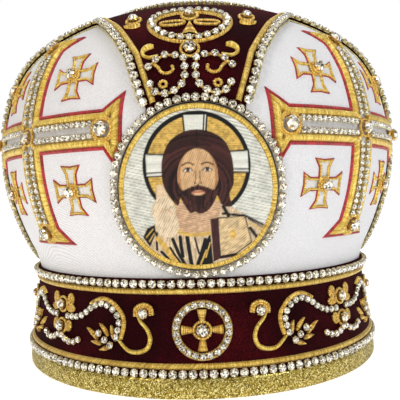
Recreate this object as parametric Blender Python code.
"""Crown-shaped bishop's mitre: a hollow dome with velvet straps, chains, crosses and medallions.

Metres, +Z up, the front towards -Y. The origin is at the middle of the rim's flat underside.
Every trim lies on the crown's fabric, so a place on it is an angle round the crown and an arc,
the distance up along the fabric from its lower edge.
"""
import math

import bpy
import bmesh
from mathutils import Matrix, Vector

# The crown's own sizes, on the outside of its fabric, with heights from its lower edge
RIM_RADIUS = 0.0965
WAIST_RADIUS = 0.0913
WAIST_HEIGHT = 0.0445
WIDEST_RADIUS = 0.1085
WIDEST_HEIGHT = 0.1135
CROWN_HEIGHT = 0.1885
CROWN_WALL = 0.003

# Gaps between pieces that touch: on flat-sided neighbours with the same facets, and on others
FACE_GAP = 0.0003
SKIN_GAP = 0.0006

# Headband and rim, heights from the crown's lower edge
BASE_BAND_HEIGHT = 0.0070
BASE_BAND_THICKNESS = 0.0018
HEM_THICKNESS = 0.0012
VELVET_THICKNESS = 0.0015
HEADBAND_TOP = 0.0497
LOWER_CHAIN_HEIGHT = 0.0085
LOWER_BRAID_HEIGHT = 0.0118
UPPER_BRAID_HEIGHT = 0.0440
UPPER_CHAIN_HEIGHT = 0.0478
BRAID_WIDTH = 0.0024
BRAID_THICKNESS = 0.0008
CHAIN_RADIUS = 0.0016

# Medallions
MEDALLION_ARC = 0.0905
MEDALLION_HALF_WIDTH = 0.0338
MEDALLION_HALF_HEIGHT = 0.0361
MEDALLION_THICKNESS = 0.0014
MEDALLION_RIM_WIDTH = 0.0032
MEDALLION_RIM_RISE = 0.0010
TOP_MEDALLION_RADIUS = 0.0460
CHAIN_SPACING = 0.0022

# Velvet straps and the chain along their edges
STRAP_FOOT_HALF_WIDTH = 0.0206
STRAP_FOOT_GAP = 0.0010
GORE_TIP_ARC = 0.1935

# Padded crosses on the white gores
LARGE_CROSS_ARC = 0.1181
LARGE_CROSS_REACH = 0.0520
LARGE_CROSS_SIDE_REACH = 0.0545
LARGE_CROSS_GAP = 0.0008
LARGE_CROSS_BAR = 0.0176
LARGE_CROSS_FLARE = 0.0340
LARGE_CROSS_THICKNESS = 0.0024
LARGE_STONE_RADIUS = 0.0034
LARGE_STONE_RISE = 0.0026
SMALL_CROSS_OFFSET = 0.0257
SMALL_CROSS_REACH = 0.0110
SMALL_CROSS_FLARE = 0.0098
SMALL_CROSS_THICKNESS = 0.0020
SMALL_STONE_RADIUS = 0.0030
SMALL_STONE_RISE = 0.0024

# Ornaments on the velvet
BAND_RING_HEIGHT = 0.0275
BAND_RING_RADIUS = 0.0128
BAND_RING_THICKNESS = 0.0016
BAND_RING_LIFT = 0.0007
STRAP_RING_ARC = 0.1675
STRAP_RING_HALF_WIDTH = 0.0180
STRAP_RING_HALF_HEIGHT = 0.0135
STRAP_RING_THICKNESS = 0.0016
STRAP_RING_BAND = 0.0030
STRAP_CROSS_REACH = 0.0095

# Facets: sides round the crown, rows up its wall and points round each trim
GORE_SIDES = 8
CROWN_SIDES = 4 * GORE_SIDES
DOME_STEPS = 12
STRAP_COLUMNS = 8
STRAP_ROWS = 6
CAP_ROWS = 3
MEDALLION_SIDES = 16
MEDALLION_RINGS = 3
MEDALLION_FACE_RINGS = 2
RING_CHAIN_POINTS = 16
GORE_CHAIN_POINTS = 6
STONE_SIDES = 8
BAND_RING_SIDES = 10
STRAP_RING_SIDES = 10
PROFILE_STEPS = 12

# The crown's outline in three stretches.
# Skirt: share of the waist's height, share of the flare from waist to rim
SKIRT_ROWS = ((0.0, 1.0), (0.30, 0.62), (0.65, 0.18), (1.0, 0.0))
# Swell: share of the way from waist to widest in height, and in radius
SWELL_ROWS = ((0.145, 0.11), (0.275, 0.34), (0.42, 0.575), (0.565, 0.77), (0.71, 0.905),
              (0.855, 0.977), (1.0, 1.0))
# Dome: share of the way from widest to top in height, share of the widest radius
DOME_ROWS = ((0.133, 0.994), (0.267, 0.973), (0.396, 0.942), (0.524, 0.893), (0.617, 0.838),
             (0.70, 0.762), (0.787, 0.659), (0.85, 0.558), (0.92, 0.405), (0.975, 0.215),
             (1.0, 0.0))
# Strap edge: share of the way up from foot to gore tip, share of the widening
STRAP_EDGE_ROWS = ((0.0, 0.0), (0.176, 0.111), (0.352, 0.217), (0.528, 0.41), (0.634, 0.527),
                   (0.775, 0.711), (0.897, 0.837), (1.0, 1.0))

# Arm of a large cross: share of its reach, share of its flare
CROSS_ARM_ROWS = ((0.44, 0.0), (0.73, 0.18), (1.0, 1.0))

# A stone's table and its seat, as shares of its radius
STONE_TABLE = 0.6
STONE_SEAT = 1.08

QUARTER = math.pi / 2
SIDES = (("front", 0.0), ("right", QUARTER), ("back", 2 * QUARTER), ("left", 3 * QUARTER))
GORES = tuple((index + 1, (index + 0.5) * QUARTER) for index in range(4))


def clear_scene():
    for item in list(bpy.data.objects):
        bpy.data.objects.remove(item, do_unlink=True)


def make_material(name, color, roughness, metallic=0.0):
    material = bpy.data.materials.new(name)
    material.use_nodes = True
    shader = material.node_tree.nodes["Principled BSDF"]
    shader.inputs["Base Color"].default_value = (*color, 1.0)
    shader.inputs["Roughness"].default_value = roughness
    shader.inputs["Metallic"].default_value = metallic
    return material


def spline_points(knots, steps):
    """Points along a smooth curve through the knots, mirrored past the last one."""
    first, second = knots[0], knots[1]
    before = (2 * first[0] - second[0], 2 * first[1] - second[1])
    after = (-knots[-2][0], knots[-2][1])
    chain = [Vector(point) for point in (before, *knots, after)]
    points = []
    for index in range(1, len(chain) - 2):
        a, b, c, d = chain[index - 1:index + 3]
        t1 = math.sqrt((b - a).length)
        t2 = t1 + math.sqrt((c - b).length)
        t3 = t2 + math.sqrt((d - c).length)
        for step in range(steps):
            t = t1 + (t2 - t1) * step / steps
            ab = (a * (t1 - t) + b * t) / t1
            bc = (b * (t2 - t) + c * (t - t1)) / (t2 - t1)
            cd = (c * (t3 - t) + d * (t - t2)) / (t3 - t2)
            abc = (ab * (t2 - t) + bc * t) / t2
            bcd = (bc * (t3 - t) + cd * (t - t1)) / (t3 - t1)
            points.append((abc * (t2 - t) + bcd * (t - t1)) / (t2 - t1))
    points.append(Vector(knots[-1]))
    return points


def crown_knots():
    """Radius and height of the outline's knots, from the crown's sizes."""
    flare = RIM_RADIUS - WAIST_RADIUS
    swell = WIDEST_RADIUS - WAIST_RADIUS
    rise = WIDEST_HEIGHT - WAIST_HEIGHT
    dome = CROWN_HEIGHT - WIDEST_HEIGHT
    knots = [(WAIST_RADIUS + flare * out, WAIST_HEIGHT * up) for up, out in SKIRT_ROWS]
    knots += [(WAIST_RADIUS + swell * out, WAIST_HEIGHT + rise * up) for up, out in SWELL_ROWS]
    knots += [(WIDEST_RADIUS * out, WIDEST_HEIGHT + dome * up) for up, out in DOME_ROWS]
    return knots


def measure_profile():
    """The outline as a list of arc, radius, height and outward direction."""
    points = spline_points(crown_knots(), PROFILE_STEPS)
    rows = []
    arc = 0.0
    for index, point in enumerate(points):
        if index:
            arc += (point - points[index - 1]).length
        along = points[min(index + 1, len(points) - 1)] - points[max(index - 1, 0)]
        outward = Vector((along.y, -along.x)).normalized()
        rows.append((arc, point, outward))
    last_arc, top, _ = rows[-1]
    rows[-1] = (last_arc, top, Vector((0.0, 1.0)))
    return rows


PROFILE = measure_profile()
CROWN_ARC = PROFILE[-1][0]


def blend(rows, arc):
    """The outline's point and outward direction at an arc."""
    if arc <= rows[0][0]:
        return rows[0][1], rows[0][2]
    for low, high in zip(rows, rows[1:]):
        if arc <= high[0]:
            share = (arc - low[0]) / (high[0] - low[0])
            return low[1].lerp(high[1], share), low[2].lerp(high[2], share).normalized()
    return rows[-1][1], rows[-1][2]


def arc_at_height(height):
    for low, high in zip(PROFILE, PROFILE[1:]):
        if low[1].y <= height <= high[1].y:
            return low[0] + (high[0] - low[0]) * (height - low[1].y) / (high[1].y - low[1].y)
    return 0.0


def arc_at_radius(radius):
    """The arc up on the dome where the fabric has this radius."""
    for low, high in reversed(list(zip(PROFILE, PROFILE[1:]))):
        if high[1].x <= radius <= low[1].x:
            return low[0] + (high[0] - low[0]) * (low[1].x - radius) / (low[1].x - high[1].x)
    return CROWN_ARC


def fabric_radius(arc):
    return blend(PROFILE, arc)[0].x


def on_crown(angle, arc, out=0.0):
    """A place over the fabric: angle from the front, arc from the rim, height above it."""
    point, outward = blend(PROFILE, arc)
    radius = point.x + outward.x * out
    height = point.y + outward.y * out + RIM_LIFT
    return Vector((radius * math.sin(angle), -radius * math.cos(angle), height))


def draped(angle, arc, across, up, out):
    """A place near a trim's centre: sideways and upwards along the fabric."""
    here = arc + up
    return on_crown(angle + across / fabric_radius(here), here, out)


# The crown's lower edge stands on the base band, which is turned under it
RIM_LIFT = HEM_THICKNESS + FACE_GAP
# Rows of facets that the crown and its headband share, from the rim to the headband's top
BASE_BAND_ARC = arc_at_height(BASE_BAND_HEIGHT)
WAIST_ARC = arc_at_height(WAIST_HEIGHT)
HEADBAND_ARC = arc_at_height(HEADBAND_TOP)
BAND_ARCS = (0.0, BASE_BAND_ARC, (BASE_BAND_ARC + WAIST_ARC) / 2, WAIST_ARC, HEADBAND_ARC)
# Heights above the fabric that the trims start at
ON_WHITE = SKIN_GAP
ON_VELVET = SKIN_GAP + VELVET_THICKNESS + FACE_GAP
ON_BAND = FACE_GAP + VELVET_THICKNESS + SKIN_GAP
CHAIN_ON_VELVET = ON_VELVET + CHAIN_RADIUS
CHAIN_ON_WHITE = ON_WHITE + CHAIN_RADIUS
CHAIN_ON_BAND = ON_BAND + CHAIN_RADIUS


def add_object(name, mesh, material):
    mesh.materials.append(material)
    piece = bpy.data.objects.new(name, mesh)
    bpy.context.scene.collection.objects.link(piece)
    return piece


def finish_mesh(name, shape, material, sharp=math.radians(35)):
    bmesh.ops.remove_doubles(shape, verts=shape.verts, dist=1e-7)
    bmesh.ops.recalc_face_normals(shape, faces=shape.faces)
    if shape.calc_volume(signed=True) < 0:
        bmesh.ops.reverse_faces(shape, faces=shape.faces)
    mesh = bpy.data.meshes.new(name)
    shape.to_mesh(mesh)
    shape.free()
    mesh.shade_smooth()
    mesh.set_sharp_from_angle(angle=sharp)
    return add_object(name, mesh, material)


def join_rings(shape, low, high, closed=True):
    """Quads between two rows of as many points."""
    count = len(low)
    for index in range(count if closed else count - 1):
        after = (index + 1) % count
        shape.faces.new((low[index], low[after], high[after], high[index]))


def turned_piece(name, section, material):
    """A closed ring turned from a section of (arc, out) points."""
    shape = bmesh.new()
    rings = []
    for arc, out in section:
        angles = (2 * math.pi * side / CROWN_SIDES for side in range(CROWN_SIDES))
        rings.append([shape.verts.new(on_crown(angle, arc, out)) for angle in angles])
    for index, ring in enumerate(rings):
        join_rings(shape, ring, rings[(index + 1) % len(rings)])
    return finish_mesh(name, shape, material)


def crown_gore(number, gore_angle, material):
    """A quarter of the hollow crown's wall, with its seams under the straps."""
    shape = bmesh.new()
    rise = (CROWN_ARC - HEADBAND_ARC) / DOME_STEPS
    dome_arcs = [HEADBAND_ARC + rise * step for step in range(DOME_STEPS)]
    arcs = [*BAND_ARCS, *dome_arcs[1:]]
    inner_arcs = [0.0, WAIST_ARC, *dome_arcs[2::2]]
    layers = []
    for row_arcs, out in ((arcs, 0.0), (inner_arcs, -CROWN_WALL)):
        rows = []
        for arc in row_arcs:
            trim = FACE_GAP / 2 / on_crown(0.0, arc, out).xy.length
            turn = (QUARTER / 2 - trim) * 2 / GORE_SIDES
            start = gore_angle - QUARTER / 2 + trim
            rows.append([shape.verts.new(on_crown(start + turn * side, arc, out))
                         for side in range(GORE_SIDES + 1)])
        for low, high in zip(rows, rows[1:]):
            join_rings(shape, low, high, closed=False)
        top = on_crown(0.0, CROWN_ARC, out)
        reach = FACE_GAP / math.sqrt(2)
        top = shape.verts.new((reach * math.sin(gore_angle), -reach * math.cos(gore_angle), top.z))
        for left, right in zip(rows[-1], rows[-1][1:]):
            shape.faces.new((left, right, top))
        layers.append((rows, top))
    (outer, outer_top), (inner, inner_top) = layers
    for point in inner[0]:
        point.co.z = RIM_LIFT
    join_rings(shape, inner[0], outer[0], closed=False)
    for side in (0, -1):
        seam = [row[side] for row in outer] + [outer_top, inner_top]
        shape.faces.new(seam + [row[side] for row in reversed(inner)])
    return finish_mesh("crown_gore_%d" % number, shape, material)


def band_section(arcs, inner, outer):
    """A thin upright section: up its outer side, then down its inner side."""
    return [(arc, outer) for arc in arcs] + [(arc, inner) for arc in reversed(arcs)]


def base_band(material):
    """The band outside the rim, turned in under the crown's lower edge."""
    shape = bmesh.new()
    top = BASE_BAND_ARC
    outer = FACE_GAP + BASE_BAND_THICKNESS
    inside = fabric_radius(0.0) - CROWN_WALL
    outside = fabric_radius(0.0) + outer
    corners = [(outside, 0.0), (on_crown(0, top, outer).xy.length, on_crown(0, top, outer).z),
               (on_crown(0, top, FACE_GAP).xy.length, on_crown(0, top, FACE_GAP).z),
               (fabric_radius(0.0) + FACE_GAP, HEM_THICKNESS), (inside, HEM_THICKNESS),
               (inside, 0.0)]
    rings = []
    for radius, height in corners:
        ring = []
        for side in range(CROWN_SIDES):
            angle = 2 * math.pi * side / CROWN_SIDES
            ring.append(shape.verts.new((radius * math.sin(angle), -radius * math.cos(angle), height)))
        rings.append(ring)
    for index, ring in enumerate(rings):
        join_rings(shape, ring, rings[(index + 1) % len(rings)])
    return finish_mesh("base_band", shape, material)


def headband(material):
    arcs = (BASE_BAND_ARC + FACE_GAP, *BAND_ARCS[2:])
    return turned_piece("headband", band_section(arcs, FACE_GAP, FACE_GAP + VELVET_THICKNESS), material)


def braid(name, height, material):
    middle = arc_at_height(height)
    arcs = (middle - BRAID_WIDTH / 2, middle + BRAID_WIDTH / 2)
    return turned_piece(name, band_section(arcs, ON_BAND, ON_BAND + BRAID_THICKNESS), material)


def chain_tube(name, points, material, closed):
    """A plain tube with the chain's width along its whole route."""
    curve = bpy.data.curves.new(name, "CURVE")
    curve.dimensions = "3D"
    curve.bevel_depth = CHAIN_RADIUS
    curve.bevel_resolution = 2
    curve.use_fill_caps = True
    spline = curve.splines.new("POLY")
    spline.points.add(len(points) - 1)
    for slot, point in zip(spline.points, points):
        slot.co = (*point, 1.0)
    spline.use_cyclic_u = closed
    return add_object(name, curve, material)


def hoop_chain(name, height, material):
    arc = arc_at_height(height)
    angles = (2 * math.pi * side / CROWN_SIDES for side in range(CROWN_SIDES))
    points = [on_crown(angle, arc, CHAIN_ON_BAND) for angle in angles]
    return chain_tube(name, points, material, True)


def strap_share(share):
    """Share of the strap's widening at a share of its length."""
    for low, high in zip(STRAP_EDGE_ROWS, STRAP_EDGE_ROWS[1:]):
        if share <= high[0]:
            return low[1] + (high[1] - low[1]) * (share - low[0]) / (high[0] - low[0])
    return 1.0


def oval_share(offset, reach):
    """Share of an oval's other half-size at an offset along one of them."""
    return math.sqrt(max(0.0, 1 - (offset / reach) ** 2))


def strap_foot_arc(across):
    """Where a strap ends, just above the chain round the medallion."""
    reach = MEDALLION_HALF_HEIGHT + CHAIN_SPACING + CHAIN_RADIUS + STRAP_FOOT_GAP
    side = MEDALLION_HALF_WIDTH + CHAIN_SPACING + CHAIN_RADIUS + STRAP_FOOT_GAP
    return MEDALLION_ARC + reach * oval_share(across, side)


def strap_half_angle(arc):
    """Half the angle that a strap covers at an arc, 45 degrees at the gore tips."""
    foot = strap_foot_arc(STRAP_FOOT_HALF_WIDTH)
    tip_half_width = fabric_radius(GORE_TIP_ARC) * QUARTER / 2
    share = (arc - foot) / (GORE_TIP_ARC - foot)
    width = STRAP_FOOT_HALF_WIDTH
    width += (tip_half_width - STRAP_FOOT_HALF_WIDTH) * strap_share(share)
    return min(width / fabric_radius(arc), QUARTER / 2)


def strap_row(angle, row):
    """Angles and arcs across a strap; row 0 is the foot and STRAP_ROWS the gore tips."""
    places = []
    for column in range(STRAP_COLUMNS + 1):
        side = 2 * column / STRAP_COLUMNS - 1
        foot = strap_foot_arc(STRAP_FOOT_HALF_WIDTH * side)
        arc = foot + (GORE_TIP_ARC - foot) * row / STRAP_ROWS
        edge = strap_foot_arc(STRAP_FOOT_HALF_WIDTH)
        edge_arc = edge + (GORE_TIP_ARC - edge) * row / STRAP_ROWS
        places.append((angle + side * strap_half_angle(edge_arc), arc))
    return places


def velvet_straps(material):
    """Velvet over the top, running down in four straps."""
    shape = bmesh.new()
    levels = (SKIN_GAP, SKIN_GAP + VELVET_THICKNESS)
    sides = STRAP_COLUMNS * len(SIDES)
    start = QUARTER / 2
    cap_rings = []
    for out in levels:
        rings = []
        for row in range(CAP_ROWS):
            arc = GORE_TIP_ARC + (CROWN_ARC - GORE_TIP_ARC) * row / CAP_ROWS
            angles = (2 * math.pi * side / sides - start for side in range(sides))
            rings.append([shape.verts.new(on_crown(angle, arc, out)) for angle in angles])
        for low, high in zip(rings, rings[1:]):
            join_rings(shape, low, high)
        top = shape.verts.new(on_crown(0.0, CROWN_ARC, out))
        for side in range(sides):
            shape.faces.new((rings[-1][side], rings[-1][(side + 1) % sides], top))
        cap_rings.append(rings[0])
    for index, (_, angle) in enumerate(SIDES):
        layers = []
        for out, ring in zip(levels, cap_rings):
            rows = []
            for row in range(STRAP_ROWS):
                rows.append([shape.verts.new(on_crown(*place, out)) for place in strap_row(angle, row)])
            first = index * STRAP_COLUMNS
            rows.append([ring[(first + column) % sides] for column in range(STRAP_COLUMNS + 1)])
            for low, high in zip(rows, rows[1:]):
                join_rings(shape, low, high, closed=False)
            layers.append(rows)
        under, over = layers
        join_rings(shape, under[0], over[0], closed=False)
        for end in (0, STRAP_COLUMNS):
            join_rings(shape, [row[end] for row in under], [row[end] for row in over], closed=False)
    return finish_mesh("velvet_straps", shape, material)


def medallion(name, place, half_width, half_height, base, material):
    """A plate on the fabric with a raised rim; place(across, up, out) gives its points."""
    shape = bmesh.new()
    top = base + MEDALLION_THICKNESS
    rim = top + MEDALLION_RIM_RISE
    inner_width = half_width - MEDALLION_RIM_WIDTH
    inner_height = half_height - MEDALLION_RIM_WIDTH

    def ring(width, height, out):
        points = []
        for side in range(MEDALLION_SIDES):
            turn = 2 * math.pi * side / MEDALLION_SIDES
            points.append(shape.verts.new(place(width * math.sin(turn), height * math.cos(turn), out)))
        return points

    def disc(width, height, out, count):
        middle = shape.verts.new(place(0.0, 0.0, out))
        rings = [ring(width * step / count, height * step / count, out)
                 for step in range(1, count + 1)]
        for side in range(MEDALLION_SIDES):
            shape.faces.new((rings[0][side], rings[0][(side + 1) % MEDALLION_SIDES], middle))
        for low, high in zip(rings, rings[1:]):
            join_rings(shape, low, high)
        return rings[-1]

    face = disc(inner_width, inner_height, top, MEDALLION_FACE_RINGS)
    inside = ring(inner_width, inner_height, rim)
    outside = ring(half_width, half_height, rim)
    under = disc(half_width, half_height, base, MEDALLION_RINGS)
    join_rings(shape, face, inside)
    join_rings(shape, inside, outside)
    join_rings(shape, outside, under)
    return finish_mesh(name, shape, material)


def medallion_chain(name, place, half_width, half_height, out, material):
    points = []
    for step in range(RING_CHAIN_POINTS):
        turn = 2 * math.pi * step / RING_CHAIN_POINTS
        across = (half_width + CHAIN_SPACING) * math.sin(turn)
        up = (half_height + CHAIN_SPACING) * math.cos(turn)
        points.append(place(across, up, out))
    return chain_tube(name, points, material, True)


def side_medallions(plate_material, chain_material):
    for side, angle in SIDES:
        def place(across, up, out, angle=angle):
            return draped(angle, MEDALLION_ARC, across, up, out)
        medallion("medallion_" + side, place, MEDALLION_HALF_WIDTH, MEDALLION_HALF_HEIGHT,
                  ON_WHITE, plate_material)
        medallion_chain("medallion_chain_" + side, place, MEDALLION_HALF_WIDTH,
                        MEDALLION_HALF_HEIGHT, CHAIN_ON_WHITE, chain_material)


def top_place(across, up, out):
    """A place on the dome's top, by its distance from the middle seen from above."""
    radius = math.hypot(across, up)
    return on_crown(math.atan2(across, up), arc_at_radius(radius), out)


def top_medallion(plate_material, chain_material):
    medallion("medallion_top", top_place, TOP_MEDALLION_RADIUS, TOP_MEDALLION_RADIUS,
              ON_VELVET, plate_material)
    medallion_chain("medallion_chain_top", top_place, TOP_MEDALLION_RADIUS,
                    TOP_MEDALLION_RADIUS, CHAIN_ON_VELVET, chain_material)


def gore_chain(number, gore_angle, material):
    """The chain up one edge of a gore, round its tip and down the other edge."""
    foot = strap_foot_arc(STRAP_FOOT_HALF_WIDTH) + CHAIN_RADIUS
    rising = []
    for step in range(GORE_CHAIN_POINTS):
        arc = foot + (GORE_TIP_ARC - foot) * step / GORE_CHAIN_POINTS
        half_gore = QUARTER / 2 - strap_half_angle(arc)
        rising.append((half_gore, arc))
    points = [on_crown(gore_angle - half, arc, CHAIN_ON_VELVET) for half, arc in rising]
    points.append(on_crown(gore_angle, GORE_TIP_ARC, CHAIN_ON_VELVET))
    points += [on_crown(gore_angle + half, arc, CHAIN_ON_VELVET) for half, arc in reversed(rising)]
    return chain_tube("gore_chain_%d" % number, points, material, False)


def tangent_frame(angle, arc, out):
    """Axes across, up and out of the fabric at a place."""
    origin = on_crown(angle, arc, out)
    across = Vector((math.cos(angle), math.sin(angle), 0.0))
    outward = (on_crown(angle, arc, out + CHAIN_RADIUS) - origin).normalized()
    up = outward.cross(across)
    frame = Matrix((across, up, outward)).transposed().to_4x4()
    frame.translation = origin
    return frame


def add_stone(shape, around, frame, radius, low, high):
    """A cut stone rising from a face: its ring of facets and a flat table."""
    rings = []
    for reach, level in ((radius, low), (radius * STONE_TABLE, high)):
        ring = []
        for side in range(STONE_SIDES):
            turn = 2 * math.pi * (side + 0.5) / STONE_SIDES
            spot = Vector((reach * math.cos(turn), reach * math.sin(turn), level))
            ring.append(shape.verts.new(frame @ spot))
        rings.append(ring)
    join_rings(shape, *rings)
    shape.faces.new(rings[1])
    girdle = [loop_edge(shape, rings[0], index) for index in range(STONE_SIDES)]
    border = [loop_edge(shape, around, index) for index in range(len(around))]
    bmesh.ops.bridge_loops(shape, edges=border + girdle)


def loop_edge(shape, points, index):
    """The edge from one point of a loop to the next, made if it isn't there."""
    pair = (points[index], points[(index + 1) % len(points)])
    return shape.edges.get(pair) or shape.edges.new(pair)


def cut_tip_reach():
    """Length of a large cross's side arm at its lower tip, cut short of a medallion's chain."""
    tip_arc = LARGE_CROSS_ARC - LARGE_CROSS_FLARE / 2
    reach = MEDALLION_HALF_HEIGHT + CHAIN_SPACING + CHAIN_RADIUS
    side = MEDALLION_HALF_WIDTH + CHAIN_SPACING + CHAIN_RADIUS
    chain_edge = side * oval_share(tip_arc - MEDALLION_ARC, reach)
    return fabric_radius(tip_arc) * QUARTER / 2 - chain_edge - LARGE_CROSS_GAP


def tip_reach(along, edge):
    """Length of a large cross's arm at one of its tips or between them."""
    if not along:
        return LARGE_CROSS_REACH
    return cut_tip_reach() if edge * along < 0 else LARGE_CROSS_SIDE_REACH


def large_cross(number, gore_angle, material):
    """A padded cross with four flared arms, laid on the fabric, with five stones."""
    shape = bmesh.new()
    turns = ((1, 0), (0, 1), (-1, 0), (0, -1))
    bar = LARGE_CROSS_BAR / 2
    low = LARGE_CROSS_THICKNESS
    high = LARGE_CROSS_THICKNESS + LARGE_STONE_RISE

    def place(across, up):
        return [shape.verts.new(draped(gore_angle, LARGE_CROSS_ARC, across, up, ON_WHITE + out))
                for out in (0.0, low)]

    def stone(around, across, up):
        arc = LARGE_CROSS_ARC + up
        frame = tangent_frame(gore_angle + across / fabric_radius(arc), arc, ON_WHITE)
        add_stone(shape, around, frame, LARGE_STONE_RADIUS, low, high)

    corners = [place(bar * (x - y), bar * (x + y)) for x, y in turns]
    middles = [place(bar * x, bar * y) for x, y in turns]
    square = [point for pair in zip(middles, corners) for point in pair]
    shape.faces.new([under for under, _ in reversed(square)])
    stone([over for _, over in square], 0.0, 0.0)
    for index, (along, side) in enumerate(turns):
        rows = [[corners[index - 1], middles[index], corners[index]]]
        sections = [(LARGE_CROSS_REACH * share, bar + (LARGE_CROSS_FLARE / 2 - bar) * spread)
                    for share, spread in CROSS_ARM_ROWS]
        for reach, half in sections:
            row = []
            for edge in (-half, 0.0, half):
                length = tip_reach(along, edge) if reach == LARGE_CROSS_REACH else reach
                row.append(place(along * length - side * edge, side * length + along * edge))
            rows.append(row)
        unders = [[point[0] for point in row] for row in rows]
        overs = [[point[1] for point in row] for row in rows]
        for near, far in zip(unders, unders[1:]):
            join_rings(shape, near, far, closed=False)
        for near, far in zip(overs[:-2], overs[1:-1]):
            join_rings(shape, near, far, closed=False)
        middle = (sections[-2][0] + sections[-1][0]) / 2
        stone(overs[-2] + list(reversed(overs[-1])), along * middle, side * middle)
        for edge in (0, 2):
            join_rings(shape, [row[edge] for row in unders], [row[edge] for row in overs],
                       closed=False)
        join_rings(shape, unders[-1], overs[-1], closed=False)
    return finish_mesh("large_cross_%d" % number, shape, material)


def flared_cross(name, frame, reach, material):
    """A small flat cross with four flared arms and a stone in the middle."""
    shape = bmesh.new()
    notch = SMALL_STONE_RADIUS * STONE_SEAT
    levels = (0.0, SMALL_CROSS_THICKNESS)

    def points(x, y):
        return [shape.verts.new(frame @ Vector((x, y, level))) for level in levels]

    turns = ((1, 0), (0, 1), (-1, 0), (0, -1))
    notches = [points(notch * (x - y), notch * (x + y)) for x, y in turns]
    half = SMALL_CROSS_FLARE / 2
    for index, (x, y) in enumerate(turns):
        tips = [points(x * reach - y * edge, y * reach + x * edge) for edge in (-half, half)]
        outline = [notches[(index - 1) % 4], tips[0], tips[1], notches[index]]
        shape.faces.new([point[0] for point in reversed(outline)])
        shape.faces.new([point[1] for point in outline])
        join_rings(shape, [point[0] for point in outline], [point[1] for point in outline],
                   closed=False)
    shape.faces.new([point[0] for point in reversed(notches)])
    add_stone(shape, [point[1] for point in notches], frame, SMALL_STONE_RADIUS,
              SMALL_CROSS_THICKNESS, SMALL_CROSS_THICKNESS + SMALL_STONE_RISE)
    return finish_mesh(name, shape, material)


def small_crosses(number, gore_angle, material):
    corners = ((-1, -1), (1, -1), (1, 1), (-1, 1))
    for index, (across, up) in enumerate(corners):
        arc = LARGE_CROSS_ARC + SMALL_CROSS_OFFSET * up
        angle = gore_angle + SMALL_CROSS_OFFSET * across / fabric_radius(arc)
        name = "small_cross_%d_%d" % (number, index + 1)
        flared_cross(name, tangent_frame(angle, arc, FACE_GAP), SMALL_CROSS_REACH, material)


def band_ring(name, frame, material):
    """The round headband ornament: a flat disc with a stone in the middle."""
    shape = bmesh.new()
    rings = []
    for level in (0.0, BAND_RING_THICKNESS):
        turns = (2 * math.pi * side / BAND_RING_SIDES for side in range(BAND_RING_SIDES))
        spots = (Vector((BAND_RING_RADIUS * math.cos(turn), BAND_RING_RADIUS * math.sin(turn), level))
                 for turn in turns)
        rings.append([shape.verts.new(frame @ spot) for spot in spots])
    shape.faces.new(list(reversed(rings[0])))
    join_rings(shape, *rings)
    add_stone(shape, rings[1], frame, SMALL_STONE_RADIUS, BAND_RING_THICKNESS,
              BAND_RING_THICKNESS + SMALL_STONE_RISE)
    return finish_mesh(name, shape, material)


def strap_ring(name, angle, material):
    """The oval on a strap: a flat band round an open middle, laid on the velvet."""
    shape = bmesh.new()
    inner = 1 - STRAP_RING_BAND / STRAP_RING_HALF_HEIGHT
    loops = []
    for share, out in ((1.0, 0.0), (1.0, STRAP_RING_THICKNESS), (inner, STRAP_RING_THICKNESS),
                       (inner, 0.0)):
        loop = []
        for side in range(STRAP_RING_SIDES):
            turn = 2 * math.pi * side / STRAP_RING_SIDES
            across = STRAP_RING_HALF_WIDTH * share * math.sin(turn)
            up = STRAP_RING_HALF_HEIGHT * share * math.cos(turn)
            loop.append(shape.verts.new(draped(angle, STRAP_RING_ARC, across, up, ON_VELVET + out)))
        loops.append(loop)
    for index, loop in enumerate(loops):
        join_rings(shape, loop, loops[(index + 1) % len(loops)])
    return finish_mesh(name, shape, material)


def velvet_ornaments(material):
    band_arc = arc_at_height(BAND_RING_HEIGHT)
    band_out = ON_BAND + BAND_RING_LIFT
    for side, angle in SIDES:
        band_ring("band_ring_" + side, tangent_frame(angle, band_arc, band_out), material)
        strap_ring("strap_ring_" + side, angle, material)
        flared_cross("strap_cross_" + side, tangent_frame(angle, STRAP_RING_ARC, ON_VELVET),
                     STRAP_CROSS_REACH, material)


def main():
    clear_scene()
    white = make_material("white_fabric", (0.80, 0.78, 0.78), 0.85)
    velvet = make_material("burgundy_velvet", (0.09, 0.005, 0.02), 0.9)
    lurex = make_material("gold_lurex", (0.45, 0.36, 0.10), 0.45, 0.7)
    satin = make_material("gold_satin", (0.75, 0.52, 0.12), 0.35, 0.5)
    stones = make_material("rhinestone_chain", (0.75, 0.75, 0.80), 0.15, 0.4)
    bullion = make_material("gold_embroidery", (0.70, 0.45, 0.08), 0.4, 0.6)
    velvet_straps(velvet)
    headband(velvet)
    base_band(lurex)
    braid("lower_braid", LOWER_BRAID_HEIGHT, satin)
    braid("upper_braid", UPPER_BRAID_HEIGHT, satin)
    hoop_chain("lower_chain", LOWER_CHAIN_HEIGHT, stones)
    hoop_chain("upper_chain", UPPER_CHAIN_HEIGHT, stones)
    side_medallions(white, stones)
    top_medallion(white, stones)
    for number, gore_angle in GORES:
        crown_gore(number, gore_angle, white)
        gore_chain(number, gore_angle, stones)
        large_cross(number, gore_angle, bullion)
        small_crosses(number, gore_angle, bullion)
    velvet_ornaments(bullion)


main()
